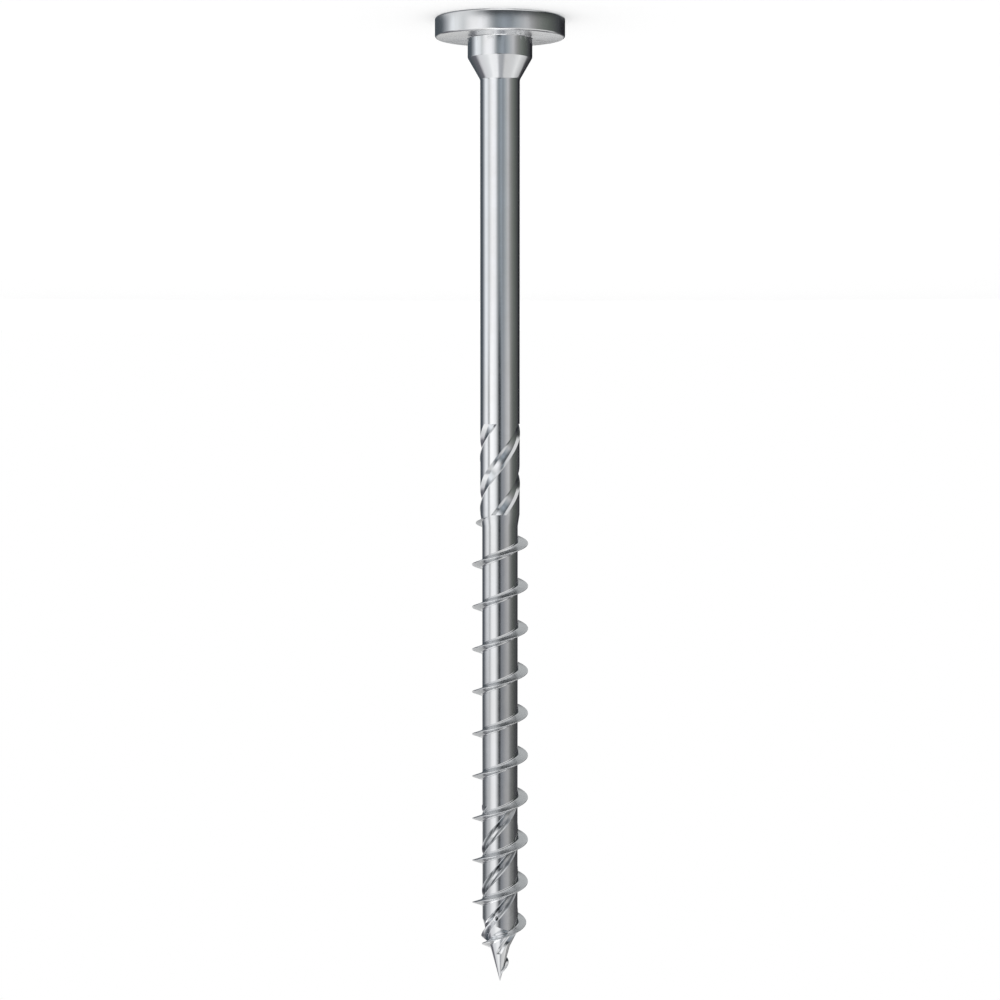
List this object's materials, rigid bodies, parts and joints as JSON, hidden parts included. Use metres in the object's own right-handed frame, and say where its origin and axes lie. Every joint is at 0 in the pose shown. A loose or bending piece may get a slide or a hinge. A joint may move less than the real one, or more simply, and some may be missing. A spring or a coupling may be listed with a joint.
{
  "type": "washer-head wood screw",
  "caption": "Long zinc-plated wood screw with a wide flat washer head, a collar, a smooth shank, a fluted reaming length and a coarse right-hand thread that ends in a sharp cutting point.",
  "frame": {"origin": "centre of the head's flat outer face, on the surface that the screw stands on", "axes": "+Z along the screw's axis from the head to the point, +X a side square to it, where the core's shoulder reaches furthest towards the head"},
  "size_m": [0.0186, 0.0186, 0.14],
  "materials": {
    "zinc_plated_steel": "bright zinc plating over rolled steel"
  },
  "bodies": {
    "root": {"screw": "zinc_plated_steel"}
  },
  "joints": []
}
